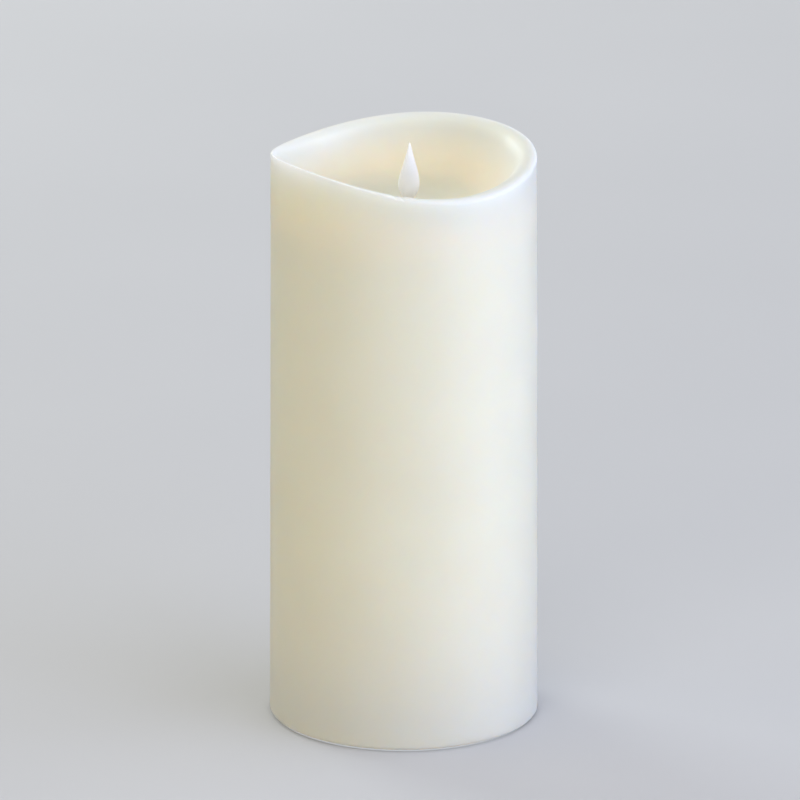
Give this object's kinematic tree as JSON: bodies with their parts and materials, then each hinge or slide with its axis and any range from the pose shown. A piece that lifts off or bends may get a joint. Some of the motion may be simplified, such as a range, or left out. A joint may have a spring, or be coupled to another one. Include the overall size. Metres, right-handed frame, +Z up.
{
  "type": "flameless led candle",
  "caption": "Free-standing ivory wax pillar candle with a melted, wavy rim and a swaying moulded flame lit by a lamp inside it.",
  "frame": {"origin": "centre of the underside, on the plane that the candle stands on", "axes": "+Z up the pillar, -Y to the front, the side the lamp shines from, +X to the viewer's right"},
  "size_m": [0.083, 0.083, 0.1813],
  "materials": {
    "ivory_wax": "smooth cast wax",
    "flame_plastic": "satin translucent",
    "liner_plastic": "moulded",
    "base_plastic": "fine moulded texture",
    "carrier_plastic": "moulded",
    "spring_steel": "nickel plated",
    "wire_steel": "polished",
    "magnet": "nickel plated",
    "screw_steel": "zinc plated",
    "copper": "enamelled copper",
    "bobbin_plastic": "moulded",
    "lamp_epoxy": "clear",
    "board": "solder mask",
    "chip": "moulded",
    "can": "satin",
    "sleeve": "shrink sleeve",
    "resistor": "ceramic chip",
    "cell_jacket": "printed jacket, plain",
    "switch_case": "moulded",
    "switch_knob": "moulded",
    "red_lead": "insulated",
    "black_lead": "insulated",
    "white_lead": "insulated"
  },
  "bodies": {
    "core": {"wax_shell": "ivory_wax", "liner": "liner_plastic", "coil_bobbin": "bobbin_plastic", "coil_winding": "copper", "coil_pins": "wire_steel", "lamp": "lamp_epoxy", "lamp_leads": "wire_steel", "carrier_left": "carrier_plastic", "carrier_right": "carrier_plastic", "clamp_screws": "screw_steel", "deck_screws": "screw_steel", "control_board": "board", "board_screws": "screw_steel", "controller_chip": "chip", "timer_crystal": "can", "capacitor": "sleeve", "driver_transistor": "chip", "chip_resistors": "resistor", "base_plate": "base_plastic", "base_screws": "screw_steel", "cell_front": "cell_jacket", "cell_back": "cell_jacket", "positive_contact": "spring_steel", "negative_contact": "spring_steel", "series_link": "spring_steel", "negative_spring": "spring_steel", "link_spring": "spring_steel", "switch_body": "switch_case", "switch_board": "board", "switch_board_screws": "screw_steel", "positive_lead": "red_lead", "negative_lead": "black_lead", "switch_leads": "white_lead"},
    "wire": {"pivot_wire": "wire_steel"},
    "flame": {"flame": "flame_plastic", "flame_magnet": "magnet"},
    "slider": {"switch_slider": "switch_knob"},
    "door": {"battery_door": "base_plastic"}
  },
  "joints": [
    {"name": "flame_sway", "type": "hinge", "parent": "core", "child": "wire", "pos_m": [0.0015, 0, 0.1465], "axis": [0, 1, 0], "range_deg": [-10, 10]},
    {"name": "flame_rock", "type": "hinge", "parent": "wire", "child": "flame", "pos_m": [0.0015, 0, 0.1459], "axis": [1, 0, 0], "range_deg": [-4, 4]},
    {"name": "switch_slide", "type": "slide", "parent": "core", "child": "slider", "axis": [1, 0, 0], "range_m": [-0.002, 0.002]},
    {"name": "door_hinge", "type": "hinge", "parent": "core", "child": "door", "pos_m": [0, -0.0161, 0.0023], "axis": [-1, 0, 0], "range_deg": [0, 90]}
  ]
}
